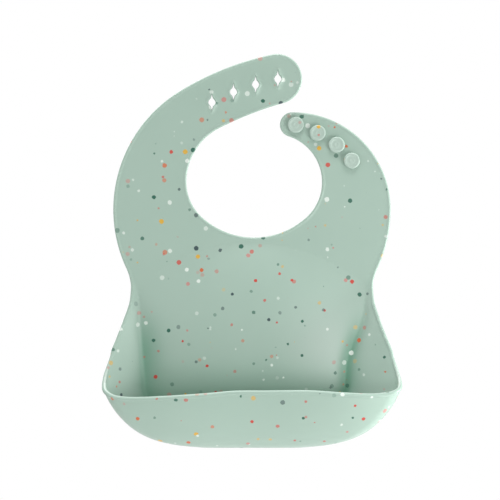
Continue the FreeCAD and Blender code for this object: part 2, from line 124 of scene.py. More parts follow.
def upper_outline():
    """The outline from the right waist, over both straps and round the neck, to the left waist."""
    waist_angle = angle_of(SHOULDER, WAIST)
    flat_angle = math.degrees(math.asin((FLAT_END - WAIST[1]) / WAIST_RADIUS))
    peg_tip = circle_meeting(
        PEG_STRAP_OUTER, PEG_STRAP_RADIUS - PEG_TIP_RADIUS, NECK_RIGHT, NECK_SIDE_RADIUS + PEG_TIP_RADIUS)
    tip_outer, tip_inner = angle_of(PEG_STRAP_OUTER, peg_tip), angle_of(NECK_RIGHT, peg_tip)
    neck_join = angle_of(NECK_BOTTOM, NECK_RIGHT)
    inner_centre, inner_radius = leaving_arc(
        HOLE_STRAP_INNER, HOLE_STRAP_INNER_RADIUS, HOLE_STRAP_INNER_END, HOLE_TIP,
        HOLE_STRAP_INNER_RADIUS + HOLE_TIP_RADIUS)
    outer_centre, outer_radius = leaving_arc(
        SHOULDER, SHOULDER_RADIUS, HOLE_STRAP_OUTER_END, HOLE_TIP, SHOULDER_RADIUS - HOLE_TIP_RADIUS)
    meets_inner, meets_outer = angle_of(inner_centre, HOLE_TIP), angle_of(outer_centre, HOLE_TIP)
    parts = [
        arc(WAIST, WAIST_RADIUS, 180 - flat_angle, 180 + waist_angle),
        arc(SHOULDER, SHOULDER_RADIUS, waist_angle, 0),
        arc(PEG_STRAP_OUTER, PEG_STRAP_RADIUS, 0, tip_outer),
        arc(peg_tip, PEG_TIP_RADIUS, tip_outer, tip_inner + 180, 1.2),
        arc(NECK_RIGHT, NECK_SIDE_RADIUS, tip_inner, neck_join),
        arc(NECK_BOTTOM, NECK_BOTTOM_RADIUS, neck_join, -180 - neck_join),
        arc(NECK_LEFT, NECK_SIDE_RADIUS, -180 - neck_join, -180),
        arc(HOLE_STRAP_INNER, HOLE_STRAP_INNER_RADIUS, 180, HOLE_STRAP_INNER_END),
        arc(inner_centre, inner_radius, HOLE_STRAP_INNER_END, meets_inner),
        arc(HOLE_TIP, HOLE_TIP_RADIUS, meets_inner - 180, meets_outer, 1.5),
        arc(outer_centre, outer_radius, meets_outer, HOLE_STRAP_OUTER_END),
        arc(SHOULDER, SHOULDER_RADIUS, HOLE_STRAP_OUTER_END, 180 - waist_angle),
        arc((-WAIST[0], WAIST[1]), WAIST_RADIUS, -waist_angle, flat_angle),
    ]
    return np.vstack([parts[0]] + [part[1:] for part in parts[1:]])


# ---------------------------------------------------------------- middle surface

def smooth_curve(knots, values):
    """A monotone cubic through the knots, as a function of arrays."""
    x, y = np.array(knots, float), np.array(values, float)
    order = np.argsort(x)
    x, y = x[order], y[order]
    steps, slopes = np.diff(x), np.diff(y) / np.diff(x)
    tangents = np.zeros_like(y)
    inner = slopes[:-1] * slopes[1:] > 0
    w1, w2 = 2 * steps[1:] + steps[:-1], steps[1:] + 2 * steps[:-1]
    with np.errstate(divide="ignore", invalid="ignore"):
        mean = (w1 + w2) / (w1 / slopes[:-1] + w2 / slopes[1:])
    tangents[1:-1] = np.where(inner, mean, 0)
    tangents[0], tangents[-1] = slopes[0], slopes[-1]

    def curve(at):
        at = np.clip(np.asarray(at, float), x[0], x[-1])
        index = np.clip(np.searchsorted(x, at) - 1, 0, len(x) - 2)
        share = (at - x[index]) / steps[index]
        a, b = y[index], y[index + 1]
        ta, tb = tangents[index] * steps[index], tangents[index + 1] * steps[index]
        return ((2 * share - 3) * share ** 2 + 1) * a + ((share - 2) * share + 1) * share * ta \
            + (3 - 2 * share) * share ** 2 * b + (share - 1) * share ** 2 * tb

    return curve


def ramp(value, low, high):
    """A smooth step from 0 at low to 1 at high."""
    share = np.clip((value - low) / (high - low), 0, 1)
    return share * share * (3 - 2 * share)


def distances_along(line):
    """The distance from a line's start to each of its points."""
    return np.concatenate([[0], np.cumsum(np.linalg.norm(np.diff(line, axis=0), axis=1))])


# The level of the pocket's rim, where the open part above meets the closed scoop below.
RIM = -156.0

# Levels of the open part: level, where the fold starts, how far out and how far forward the wing's
# free edge stands.
WING = [
    (-58.0, 89.5, 99.9, 0.0),
    (-66.0, 89.0, 95.33, 0.0),
    (-73.0, 88.5, 92.9, 0.0),
    (-80.0, 87.5, 91.9, 1.2),
    (-88.0, 86.0, 92.2, 3.8),
    (-105.0, 83.8, 97.0, 10.4),
    (-118.0, 82.6, 101.9, 15.0),
    (-131.0, 81.6, 106.2, 18.8),
    (-143.0, 80.6, 106.6, 20.6),
]

# Levels of the scoop, going down its wall: distance down the wall, level, back, where the fold starts,
# how far out its side bulges, how far forward its corner's centre stands, the corner's radius and the
# front's depth.
SCOOP = [
    (0.0, -156.0, 0.0, 79.5, 109.8, 31.0, 11.0, 47.8),
    (8.0, -163.8, 0.0, 77.5, 106.0, 30.2, 11.0, 46.4),
    (16.0, -171.4, 0.0, 74.5, 101.2, 29.0, 11.0, 44.6),
    (24.0, -178.8, 0.2, 70.0, 95.0, 27.0, 10.8, 42.0),
    (31.0, -185.0, 0.9, 64.5, 88.0, 25.0, 10.2, 38.6),
    (37.0, -190.0, 2.2, 57.5, 80.0, 22.8, 9.2, 34.6),
    (43.0, -194.2, 4.6, 48.5, 69.5, 20.6, 7.6, 30.2),
    (49.0, -197.3, 8.0, 36.5, 55.0, 18.8, 5.6, 26.2),
    (55.0, -199.0, 11.6, 23.0, 38.0, 17.8, 3.6, 22.4),
]
CORNER_ROUND = 11.0
SAMPLES_ROUND = 700

# The chart's lowest line: below the rim, chart levels measure the way down the scoop's wall.
LOWEST = RIM - SCOOP[-1][0]

# The free edge round each corner: distance past the wing's end, level. The left corner hangs lower.
RIM_MIDDLE = -155.2
RIM_RIGHT = [(2.0, -137.5), (4.2, -143.0), (7.2, -147.8), (12.0, -151.8), (18.0, -154.8), (25.0, -156.8),
             (36.0, -157.7), (56.0, -156.8)]
RIM_LEFT = [(2.4, -138.0), (5.2, -144.0), (8.6, -149.6), (13.0, -154.2), (18.0, -157.6), (25.0, -159.7),
            (36.0, -160.4), (56.0, -159.6)]
RIM_SHOULDERS = (-154.9, -157.4)
WING_END = -131.0

# The wing bows by this angle each way, and the front wall leans by these angles at the rim and the foot.
WING_BOW = 7.0
FRONT_LEAN, FOOT_LEAN = 19.0, 11.0
FOLD_ROUND_HIGH, FOLD_ROUND_LOW = 1.5, 7.0


def fold(crease, back, bow, tip_at, fold_round):
    """The fold's arc and the wing's bowed run to its tip: the angles at both ends, the arc's end, the tip."""
    lean = 0.5
    for _ in range(40):
        steep, flat = max(lean + bow, 1e-4), max(lean - bow, 1e-4)
        foot = np.array([crease + fold_round * math.sin(steep), -back - fold_round * (1 - math.cos(steep))])
        tip = tip_at(flat)
        lean = max(math.atan2(foot[1] - tip[1], tip[0] - foot[0]), 1e-4)
    return steep, flat, foot, tip


class Section:
    """The bib's cross-section at one level, as a curve in plan view that starts on the middle line."""

    def __init__(self, level):
        down = max(RIM - level, 0.0)
        rows = np.array(SCOOP)
        values = [float(smooth_curve(rows[:, 0], rows[:, i])(down)) for i in range(1, 8)]
        self.height, back, crease, side, centre_y, radius, depth = values
        opened = float(ramp(-level, 84.0, 116.0))
        bow = math.radians(WING_BOW) * opened * float(1 - ramp(-level, 168.0, 192.0))
        fold_round = FOLD_ROUND_HIGH + (FOLD_ROUND_LOW - FOLD_ROUND_HIGH) * opened
        lean = math.radians(FRONT_LEAN + (FOOT_LEAN - FRONT_LEAN) * float(ramp(-level, 165.0, 200.0)))

        def on_corner(angle):
            return np.array([side - radius + radius * math.sin(angle), -centre_y + radius * math.cos(angle)])

        if level > RIM:
            rim_tip = fold(crease, back, bow, on_corner, fold_round)[3]
            rows = np.array(WING + [(RIM, crease, rim_tip[0], -rim_tip[1])])
            crease, out, forward = (float(smooth_curve(rows[:, 0], rows[:, i])(level)) for i in (1, 2, 3))
            self.height, radius = level, CORNER_ROUND
            depth = forward + depth + rim_tip[1]
            self.points, self.marks = self.trace(
                crease, back, bow, fold_round, lambda angle: np.array([out, -forward]), radius, depth, lean)
        else:
            self.points, self.marks = self.trace(
                crease, back, bow, fold_round, on_corner, radius, depth, lean)

    @staticmethod
    def trace(crease, back, bow, fold_round, tip_at, radius, depth, lean):
        """Back, fold, wing, corner and front, with the distance to each join."""
        steep, flat, foot, tip = fold(crease, back, bow, tip_at, fold_round)
        pieces = [np.array([[0.0, -back], [crease, -back]])]
        angles = np.linspace(0, steep, 24)[1:]
        centre = np.array([crease, -back - fold_round])
        pieces.append(centre + fold_round * np.column_stack([np.sin(angles), np.cos(angles)]))
        run, half = tip - foot, (steep - flat) / 2
        middle = (steep + flat) / 2
        share = np.linspace(0, 1, 24)[1:]
        if half > 1e-3:
            swing = half * (2 * share - 1)
            bent = np.linalg.norm(run) / (2 * math.sin(half))
            ahead, aside = bent * (np.sin(swing) + math.sin(half)), bent * (np.cos(swing) - math.cos(half))
        else:
            ahead, aside = np.linalg.norm(run) * share, 0 * share
        forwards = np.array([math.cos(middle), -math.sin(middle)])
        inwards = np.array([-math.sin(middle), -math.cos(middle)])
        pieces.append(foot + ahead[:, None] * forwards + aside[:, None] * inwards)
        normal = np.array([math.sin(flat), math.cos(flat)])
        corner = tip - normal * radius
        sweep = np.linspace(flat, math.pi - lean, 60)[1:]
        pieces.append(corner + radius * np.column_stack([np.sin(sweep), np.cos(sweep)]))
        end = pieces[-1][-1]
        heading = np.array([-math.cos(lean), -math.sin(lean)]) * end[0]
        share = np.linspace(0, 1, 60)[1:, None]
        pieces.append(
            ((2 * share - 3) * share ** 2 + 1) * end + ((share - 2) * share + 1) * share * heading
            + (3 - 2 * share) * share ** 2 * np.array([0.0, -depth])
            + (share - 1) * share ** 2 * np.array([-end[0], 0.0]))
        points = np.vstack(pieces)
        joins = np.cumsum([len(piece) for piece in pieces]) - 1
        return points, distances_along(points)[joins]

    def at(self, around):
        """The plan position at a chart distance round the section, right half."""
        away = distances_along(self.points)
        return np.column_stack([np.interp(around, away, self.points[:, i]) for i in (0, 1)])


RIM_MARKS = Section(RIM).marks
HALF_ROUND = float(RIM_MARKS[-1])


def build_table():
    """Positions on a regular grid of chart distance and level, for the half of the bib on the right."""
    levels = np.concatenate([np.linspace(FLAT_END, RIM, 61), RIM - np.linspace(0, -LOWEST + RIM, 56)[1:]])
    around = np.linspace(0, HALF_ROUND, SAMPLES_ROUND)
    grid = np.zeros((len(levels), SAMPLES_ROUND, 3))
    for row, level in enumerate(levels):
        section = Section(level)
        distance = around if level >= RIM else np.interp(
            around, np.concatenate([[0], RIM_MARKS]), np.concatenate([[0], section.marks]))
        grid[row, :, :2] = section.at(distance)
        grid[row, :, 2] = section.height
    return levels[::-1], around, grid[::-1]


LEVELS, AROUND, GRID = build_table()

# The dome of the lower panel: its height, how far below the neck its top arc is and how sharply that arc
# drops to the sides, and how far out the dome reaches at each depth below the neck.
DOME = 8.0
DOME_TOP, DOME_DROP = -46.0, 0.0042
DOME_REACH = (
    [50.0, 75.0, 105.0, 156.0, 171.0, 185.0, 199.0],
    [92.0, 88.5, 84.5, 80.0, 75.0, 65.0, 35.0])


def bulge(x, z):
    """How far the lower panel stands forward of a flat sheet: a dome whose top is an arc below the neck."""
    across = np.clip(1 - (np.abs(x) / np.interp(-z, *DOME_REACH)) ** 2.5, 0, 1)
    down = np.clip((DOME_TOP - DOME_DROP * x ** 2 - z) / 62.0, 0, 1)
    up = np.clip((z + 199.0) / 45.0, 0, 1)
    return DOME * across * down * (2 - down) * up * up * (3 - 2 * up)


# How far the right-hand fold leans in, where it is on the chart, and the width over which it takes the
# sheet with it.
FOLD_LEAN = 9.5
FOLD_PLACE, FOLD_WIDTH = 82.0, 15.0


def fold_lean(chart):
    """How far the right-hand fold leans in toward the middle as it goes down."""
    level = chart[:, 1]
    lean = FOLD_LEAN * ramp(-level, 96.0, 142.0) * (1 - ramp(-level, 162.0, 190.0))
    return lean * np.exp(-((chart[:, 0] - FOLD_PLACE) / FOLD_WIDTH) ** 2)


# Painted light in the colour: 0 is the plain sage, 1 the sage darkened as painted shade, and below 0 a paler
# painted highlight.
# For each fold: its chart distance, how far its shade reaches to the left and to the right, and its depth.
FOLD_SHADES = [(-82.5, 4.0, 12.0, 1.15), (82.0, 9.5, 6.5, 1.6)]
# The painted shade down in the scoop.
SCOOP_PAINTED_SHADE = 0.42
# The painted highlight along the pocket's rim edge.
RIM_PAINTED_HIGHLIGHT = 1.0
# The painted highlight that makes the pegs paler all over.
PEG_PAINTED_HIGHLIGHT = 0.4

# The painted highlight on the right half of the lower panel, a pale patch of painted sheen: its middle on the
# chart, its reach and its paleness.
PAINTED_SHEEN_PATCH, PAINTED_SHEEN_PATCH_REACH, PAINTED_SHEEN_PATCH_PALENESS = (56.0, -128.0), (26.0, 30.0), 0.5


def painted_light_amount(chart):
    """Painted light in the colour: painted shade in the folds and the scoop, a painted highlight on the
    panel's right half.
    """
    around, level = chart[:, 0], chart[:, 1]
    folds = np.zeros(len(chart))
    for place, left, right, most in FOLD_SHADES:
        aside = around - place
        folds += most * np.exp(-(aside / np.where(aside < 0, left, right)) ** 2)
    folds *= ramp(-level, 90.0, 130.0)
    paler_side = ramp(np.abs(around), 84.0, 100.0) * (1 - ramp(-level, 158.0, 188.0))
    scoop = SCOOP_PAINTED_SHADE * ramp(-level, 126.0, 162.0) * (1 - paler_side)
    away = ((chart - np.array(PAINTED_SHEEN_PATCH)) / np.array(PAINTED_SHEEN_PATCH_REACH)) ** 2
    return folds + scoop * np.clip(1 - folds, 0, 1) - PAINTED_SHEEN_PATCH_PALENESS * np.exp(-away.sum(axis=1))


def surface(chart):
    """Middle-surface positions of chart points."""
    around, level = np.abs(chart[:, 0]), chart[:, 1]
    place = np.column_stack([chart[:, 0], np.zeros(len(chart)), level])
    place[:, 1] -= bulge(place[:, 0], level)
    low = level < FLAT_END
    a = np.clip(around[low] / HALF_ROUND, 0, 1) * (len(AROUND) - 1)
    i = np.clip(a.astype(int), 0, len(AROUND) - 2)
    j = np.clip(np.searchsorted(LEVELS, level[low]) - 1, 0, len(LEVELS) - 2)
    fa = (a - i)[:, None]
    fb = ((level[low] - LEVELS[j]) / (LEVELS[j + 1] - LEVELS[j]))[:, None]
    bottom = GRID[j, i] * (1 - fa) + GRID[j, i + 1] * fa
    top = GRID[j + 1, i] * (1 - fa) + GRID[j + 1, i + 1] * fa
    found = bottom * (1 - fb) + top * fb
    found[:, 1] -= bulge(found[:, 0], found[:, 2]) * (around[low] < RIM_MARKS[1])
    found[:, 0] *= np.where(chart[low, 0] < 0, -1, 1)
    found[:, 0] -= fold_lean(chart[low])
    place[low] = found
    return place


# ---------------------------------------------------------------- the chart and its triangles

# Distances from the free edge at which lines of points follow it, so that the rounding is smooth.
EDGE_RINGS = [0.1, 0.35, 0.7, 1.15, 1.6, 2.1, 2.7, 3.4, 4.3]
STAR_RINGS = [0.25, 0.6, 1.1, 1.8, 2.6]
GRID_STEP = 2.3


def wing_edge():
    """The free edge of the right wing on the chart, from the flat sheet's end down towards the rim."""
    levels = np.arange(FLAT_END, WING_END, -OUTLINE_STEP)
    return np.array([[Section(level).marks[2], level] for level in levels])


def lower_outline(rim, shoulder):
    """Half the outline: from the flat sheet's end, down the wing, round the corner and along the rim."""
    wing = wing_edge()
    corner = [(Section(max(level, RIM)).marks[2] + past, level) for past, level in rim]
    middle = [(HALF_ROUND - 37.0, shoulder), (HALF_ROUND - 7.0, RIM_MIDDLE), (HALF_ROUND, RIM_MIDDLE)]
    knots = np.array([wing[-4], wing[-1]] + corner + middle)
    away = distances_along(knots)
    fine = np.linspace(away[1], away[-1], 1500)
    line = np.column_stack([smooth_curve(away, knots[:, i])(fine) for i in (0, 1)])
    away = distances_along(line)
    steps = np.linspace(0, away[-1], int(away[-1] / OUTLINE_STEP) + 1)[1:]
    line = np.column_stack([np.interp(steps, away, line[:, i]) for i in (0, 1)])
    return np.vstack([wing, line])


def whole_outline():
    """The free edge of the sheet on the chart, and the closed outline that it is part of."""
    right, left = (lower_outline(*half) for half in zip((RIM_RIGHT, RIM_LEFT), RIM_SHOULDERS))
    free = np.vstack([right[::-1][:-1], upper_outline(), (left * np.array([-1, 1]))[1:]])
    last_ring = RIM_MIDDLE - EDGE_RINGS[-1]
    levels = np.concatenate([RIM_MIDDLE - np.array(EDGE_RINGS), np.linspace(last_ring, LOWEST, 30)[1:]])
    left_seam = np.column_stack([np.full(len(levels), -HALF_ROUND), levels])
    foot = np.linspace([-HALF_ROUND, LOWEST], [HALF_ROUND, LOWEST], 141)[1:-1]
    right_seam = left_seam[::-1] * np.array([-1, 1])
    return free, np.vstack([free, left_seam, foot, right_seam])


def offset_line(points, distance):
    """A line moved to its left."""
    ahead = np.gradient(points, axis=0)
    ahead /= np.linalg.norm(ahead, axis=1)[:, None]
    return points + distance * np.column_stack([-ahead[:, 1], ahead[:, 0]])


STAR_HALF_HEIGHT, STAR_HALF_WIDTH = 6.2, 2.7
STAR_LEVELS = np.array([0.0, 0.12, 0.24, 0.36, 0.48, 0.56, 0.64, 0.75, 0.87, 1.0])


def star(centre, grow=0.0):
    """A star: a round middle that runs out into a long spike above and below."""
    up = (STAR_HALF_HEIGHT + grow) * STAR_LEVELS
    middle = np.sqrt(np.clip(1 - (STAR_LEVELS / 0.45) ** 2, 0, 1))
    spike = 0.85 * (1 - STAR_LEVELS) ** 1.25
    across = (middle ** 2.5 + spike ** 2.5) ** 0.4
    across *= (STAR_HALF_WIDTH + grow) / across[0]
    quarter = np.column_stack([across, up])
    half = np.vstack([quarter[:0:-1] * [1, -1], quarter])
    return np.array(centre) + np.vstack([half, half[-2:0:-1] * [-1, 1]])


def inside(points, loop):
    """Which points lie inside a closed loop."""
    x, y = points[:, 0], points[:, 1]
    hits = np.zeros(len(points), bool)
    for (x1, y1), (x2, y2) in zip(loop, np.roll(loop, -1, axis=0)):
        if y1 == y2:
            continue
        crosses = (y1 > y) != (y2 > y)
        hits ^= crosses & (x < (x2 - x1) * (y - y1) / (y2 - y1) + x1)
    return hits


def distance_to(points, line, closed=False):
    """The distance from each point to a line of straight runs."""
    starts = line if closed else line[:-1]
    ends = np.roll(line, -1, axis=0) if closed else line[1:]
    best = np.full(len(points), 1e9)
    for chunk in range(0, len(starts), 64):
        a, b = starts[chunk:chunk + 64], ends[chunk:chunk + 64]
        run = b - a
        share = np.einsum("pij,ij->pi", points[:, None, :] - a[None], run)
        share /= np.maximum((run ** 2).sum(1), 1e-12)
        near = a[None] + np.clip(share, 0, 1)[..., None] * run[None]
        best = np.minimum(best, np.linalg.norm(points[:, None, :] - near, axis=2).min(axis=1))
    return best


# Lines across the chart that divide the sheet into pieces. Each lies between two joints, where the sheet
# stays rigid. A strap's line is given by its middle, its angle in degrees and its reach each way.
CHEST_TOP, STRIP_MIDDLE, POCKET_TOP = -22.0, -62.5, -96.0
HOLE_STRAP_CUTS = [((-72.6, 9.6), 165.0, 31.0), ((-54.8, 42.1), 135.0, 31.0), ((-22.3, 64.5), 114.5, 27.0)]
PEG_STRAP_CUTS = [((77.3, 3.5), 10.0, 31.0), ((57.0, 32.5), 57.0, 24.0)]


def divided(start, end):
    """Evenly spaced points along a straight line."""
    start, end = np.array(start), np.array(end)
    count = int(np.linalg.norm(end - start) / OUTLINE_STEP)
    return start + np.linspace(0, 1, count + 1)[:, None] * (end - start)


def cut_line(cut):
    """A strap's dividing line, as points."""
    (x, z), degrees, reach = cut
    step = reach * np.array([math.cos(math.radians(degrees)), math.sin(math.radians(degrees))])
    return divided([x, z] - step, [x, z] + step)


def cut_lines():
    """All dividing lines, as points."""
    lines = [cut_line(cut) for cut in HOLE_STRAP_CUTS + PEG_STRAP_CUTS]
    lines += [divided([side * 30.0, CHEST_TOP], [side * 115.0, CHEST_TOP]) for side in (-1, 1)]
    lines += [divided([-130.0, level], [130.0, level]) for level in (STRIP_MIDDLE, POCKET_TOP)]
    return lines


def beyond(points, cut, side):
    """Which points lie on the tip's side of a strap's dividing line. side is -1 for the left strap."""
    (x, z), degrees, _ = cut
    line = np.array([math.cos(math.radians(degrees)), math.sin(math.radians(degrees))])
    onward = side * np.array([-line[1], line[0]])
    return (points - np.array([x, z])) @ onward > 0


ZONES = [
    "pocket_sheet", "fold_sheet", "chest_sheet",
    "hole_strap_sheet_1", "hole_strap_sheet_2", "hole_strap_sheet_3", "hole_strap_sheet_4",
    "peg_strap_sheet_1", "peg_strap_sheet_2", "peg_strap_sheet_3",
]


def zone_of(points):
    """The number of the zone that each chart point lies in."""
    x, z = points[:, 0], points[:, 1]
    on_hole_strap = (x < 10) | (z > 56)
    left, right = np.full(len(points), 3), np.full(len(points), 7)
    for cut in HOLE_STRAP_CUTS:
        left += beyond(points, cut, -1)
    for cut in PEG_STRAP_CUTS:
        right += beyond(points, cut, 1)
    zones = np.where(on_hole_strap, left, right)
    zones[z < CHEST_TOP] = 2
    zones[z < STRIP_MIDDLE] = 1
    zones[z < POCKET_TOP] = 0
    return zones


def hex_grid(low, high, step):
    """Points in staggered rows that fill a box."""
    rows = np.arange(low[1], high[1], step * math.sqrt(0.75))
    points = []
    for number, level in enumerate(rows):
        across = np.arange(low[0] + (number % 2) * step / 2, high[0], step)
        points.append(np.column_stack([across, np.full(len(across), level)]))
    return np.vstack(points)


def triangulate(loops, lines, loose, holes):
    """Triangles between lines: (points, triangles) inside the first loop and outside the holes."""
    points, edges, count = [], [], 0
    for line, closed in [(loop, True) for loop in loops] + [(line, False) for line in lines]:
        numbers = list(range(count, count + len(line)))
        edges += list(zip(numbers, numbers[1:])) + ([(numbers[-1], numbers[0])] if closed else [])
        points.append(line)
        count += len(line)
    points = np.vstack(points + [loose])
    made, _, faces, *_ = delaunay_2d_cdt([Vector(p) for p in points], edges, [], 0, 1e-4, False)
    made = np.array([tuple(point) for point in made])
    faces = np.array([list(face) for face in faces])
    middles = made[faces].mean(axis=1)
    keep = inside(middles, loops[0])
    for hole in holes:
        keep &= ~inside(middles, hole)
    faces = faces[keep]
    a, b, c = made[faces[:, 0]], made[faces[:, 1]], made[faces[:, 2]]
    area = (b[:, 0] - a[:, 0]) * (c[:, 1] - a[:, 1]) - (b[:, 1] - a[:, 1]) * (c[:, 0] - a[:, 0])
    faces[area < 0] = faces[area < 0][:, ::-1]
    return made, faces[np.abs(area) > 5e-4]


def build_chart():
    """The chart: points, triangles, and each point's distance to the free edge and to the nearest star."""
    free, outline = whole_outline()
    stars = [star(centre) for centre in STAR_CENTRES]
    star_rings = [star(centre, grow) for centre in STAR_CENTRES for grow in STAR_RINGS]
    rings = [offset_line(free, ring) for ring in EDGE_RINGS]
    cuts = cut_lines()
    loose = hex_grid(outline.min(axis=0), outline.max(axis=0), GRID_STEP)
    loose = loose[inside(loose, outline)]
    loose = loose[distance_to(loose, free) > EDGE_RINGS[-1] + 1.3]
    loose = loose[distance_to(loose, outline, True) > 1.2]
    for centre in STAR_CENTRES:
        loose = loose[~inside(loose, star(centre, STAR_RINGS[-1] + 1.3))]
    for cut in cuts:
        loose = loose[distance_to(loose, cut) > 1.0]
    points, triangles = triangulate([outline] + stars + star_rings, rings + cuts, loose, stars)
    to_edge = distance_to(points, free)
    to_star = np.full(len(points), 1e9)
    for centre, loop in zip(STAR_CENTRES, stars):
        near = np.linalg.norm(points - np.array(centre), axis=1) < 14
        to_star[near] = np.minimum(to_star[near], distance_to(points[near], loop, True))
    return points, triangles, to_edge, to_star


# ---------------------------------------------------------------- thickness

SHEET_HALF = 1.0

# How far the rim of each opening stands out: inside the edge, round a star and outside the pocket's edge.
FRONT_LIP, STAR_COLLAR, POCKET_LIP = 0.35, 1.2, 0.9


def rounded(distance, radius):
    """A quarter circle's rise from 0 at the edge to 1 at the radius."""
    inside_round = np.clip(1 - distance / radius, 0, 1)
    return np.sqrt(1 - inside_round ** 2)


def front_height(to_edge, to_star):
    """How far the front face stands off the middle surface: a lip at the edge, a collar round a star."""
    lip = SHEET_HALF + FRONT_LIP * (1 - ramp(to_edge, 1.2, 2.6))
    lip *= rounded(to_edge, 1.2)
    collar = STAR_COLLAR * (1 - ramp(to_star, 0.8, 2.4))
    return (lip + collar) * rounded(to_star, 0.6)


def back_height(to_edge, to_star, pocket):
    """How far the back face stands off: plain behind the yoke, with a lip outside the wings and pocket."""
    lip = SHEET_HALF + POCKET_LIP * pocket * (1 - ramp(to_edge, 2.0, 3.4))
    return lip * rounded(to_edge, 1.0 + 1.1 * pocket) * rounded(to_star, 0.5)


def surface_normals(chart):
    """Unit normals of the middle surface, towards the front of the sheet and the inside of the pocket."""
    reach = 0.8
    around, along = np.array([reach, 0.0]), np.array([0.0, reach])
    low, high = chart - along, chart + along
    low[:, 1] = np.maximum(low[:, 1], LOWEST)
    across = surface(chart + around) - surface(chart - around)
    # At the seam the front wall runs straight across.
    wrapped = np.abs(chart[:, 0]) > HALF_ROUND - reach
    across[wrapped] = np.array([-1.0, 0.0, 0.0])
    normal = np.cross(across, surface(high) - surface(low))
    return normal / np.maximum(np.linalg.norm(normal, axis=1), 1e-12)[:, None]


def vertex_normals(places, triangles):
    """Unit normals at the points, from the triangles round each."""
    a, b, c = (places[triangles[:, i]] for i in range(3))
    faces = np.cross(b - a, c - a)
    total = np.zeros_like(places)
    for i in range(3):
        np.add.at(total, triangles[:, i], faces)
    return total / np.maximum(np.linalg.norm(total, axis=1), 1e-12)[:, None]


def build_sheet():
    """The whole bib as one closed skin.

    Gives positions in metres, triangles, each triangle's zone, and each point's normal and amount of painted
    shade or painted highlight.
    """
    chart, triangles, to_edge, to_star = build_chart()
    far = 99.0
    zones = zone_of(chart[triangles].mean(axis=1))
    middle = surface(chart)

    # The seam down the front wall: the left end of each level is the right end.
    right = np.flatnonzero((np.abs(chart[:, 0] - HALF_ROUND) < 1e-3) & (chart[:, 1] < RIM_MIDDLE + 1e-3))
    left = np.flatnonzero((np.abs(chart[:, 0] + HALF_ROUND) < 1e-3) & (chart[:, 1] < RIM_MIDDLE + 1e-3))
    right, left = right[np.argsort(chart[right, 1])], left[np.argsort(chart[left, 1])]
    assert len(right) == len(left), (len(right), len(left))
    renumber = np.arange(len(chart))
    renumber[left] = right
    triangles = renumber[triangles]

    # The flat of the pocket's floor, inside the lowest section.
    foot = np.flatnonzero(np.abs(chart[:, 1] - LOWEST) < 1e-3)
    foot = foot[np.argsort(chart[foot, 0])][1:]
    ring = middle[foot][:, :2]
    loose = hex_grid(ring.min(axis=0), ring.max(axis=0), 2.5)
    loose = loose[inside(loose, ring)]
    loose = loose[distance_to(loose, ring, True) > 1.0]
    made, extra = triangulate([ring], [], loose, [])
    assert len(made) == len(ring) + len(loose)
    numbers = np.concatenate([foot, len(chart) + np.arange(len(loose))])
    extra = numbers[extra]
    floor = np.column_stack([made[len(ring):], np.full(len(loose), middle[foot[0], 2])])
    middle = np.vstack([middle, floor])
    to_edge = np.concatenate([to_edge, np.full(len(floor), far)])
    to_star = np.concatenate([to_star, np.full(len(floor), far)])
    level = np.concatenate([chart[:, 1], np.full(len(floor), LOWEST)])
    triangles = np.vstack([triangles, extra])
    zones = np.concatenate([zones, np.zeros(len(extra), int)])

    normals = np.vstack([surface_normals(chart), np.tile([0.0, 0.0, 1.0], (len(floor), 1))])
    pocket = ramp(-level, 76.0, 100.0)
    front = middle + normals * front_height(to_edge, to_star)[:, None]
    back = middle - normals * back_height(to_edge, to_star, pocket)[:, None]
    # Both faces share the points on the free edge and round the stars.
    count = len(middle)
    shared = np.minimum(to_edge, to_star) < 2e-3
    back_numbers = np.where(shared, np.arange(count), np.arange(count) + count)
    places = np.vstack([front, back])
    skin = np.vstack([triangles, back_numbers[triangles][:, ::-1]])
    # Away from the edges the middle surface's own normals shade it, and near them the triangles do.
    plain = np.tile(ramp(np.minimum(to_edge, to_star), 3.4, 4.6), 2)[:, None]
    shading = vertex_normals(places, skin) * (1 - plain) + np.vstack([normals, -normals]) * plain
    shading /= np.maximum(np.linalg.norm(shading, axis=1), 1e-9)[:, None]
    # Painted shade and painted highlights for every point; the pocket's floor takes the scoop's painted
    # shade.
    depth = np.concatenate([painted_light_amount(chart), np.full(len(floor), SCOOP_PAINTED_SHADE)])
    # A painted highlight along the free edge low on the wings and round the pocket's rim.
    depth -= RIM_PAINTED_HIGHLIGHT * ramp(-level, 130.0, 150.0) * (1 - ramp(to_edge, 0.6, 2.2))
    depth = np.concatenate([depth, np.zeros(count)])
    return places * MM, skin, np.concatenate([zones, zones]), shading, depth


def make_object(name, places, faces, depth):
    """A mesh object whose points remember where they were moulded and how much painted shade or painted
    highlight their colour carries.
    """
    mesh = bpy.data.meshes.new(name)
    mesh.from_pydata(places.tolist(), [], faces)
    mesh.update()
    mesh.shade_smooth()
    moulded = mesh.attributes.new(MOULDED, "FLOAT_VECTOR", "POINT")
    moulded.data.foreach_set("vector", [value for vertex in mesh.vertices for value in vertex.co])
    painted_light_field = mesh.attributes.new(PAINTED_LIGHT, "FLOAT", "POINT")
    painted_light_field.data.foreach_set("value", depth.astype(np.float32))
    piece = bpy.data.objects.new(name, mesh)
    bpy.context.scene.collection.objects.link(piece)
    return piece


def make_pieces():
    """One object per zone, all with the shading of the undivided sheet."""
    places, triangles, zones, normals, depth = build_sheet()
    pieces = {}
    for number, name in enumerate(ZONES):
        mine = triangles[zones == number]
        used, mine = np.unique(mine, return_inverse=True)
        piece = make_object(name, places[used], mine.reshape(-1, 3).tolist(), depth[used])
        piece.data.normals_split_custom_set_from_vertices(normals[used].tolist())
        pieces[name] = piece
    return pieces


# ---------------------------------------------------------------- pegs

# Where the front face of the flat sheet is, along Y.
SHEET_FRONT = -SHEET_HALF

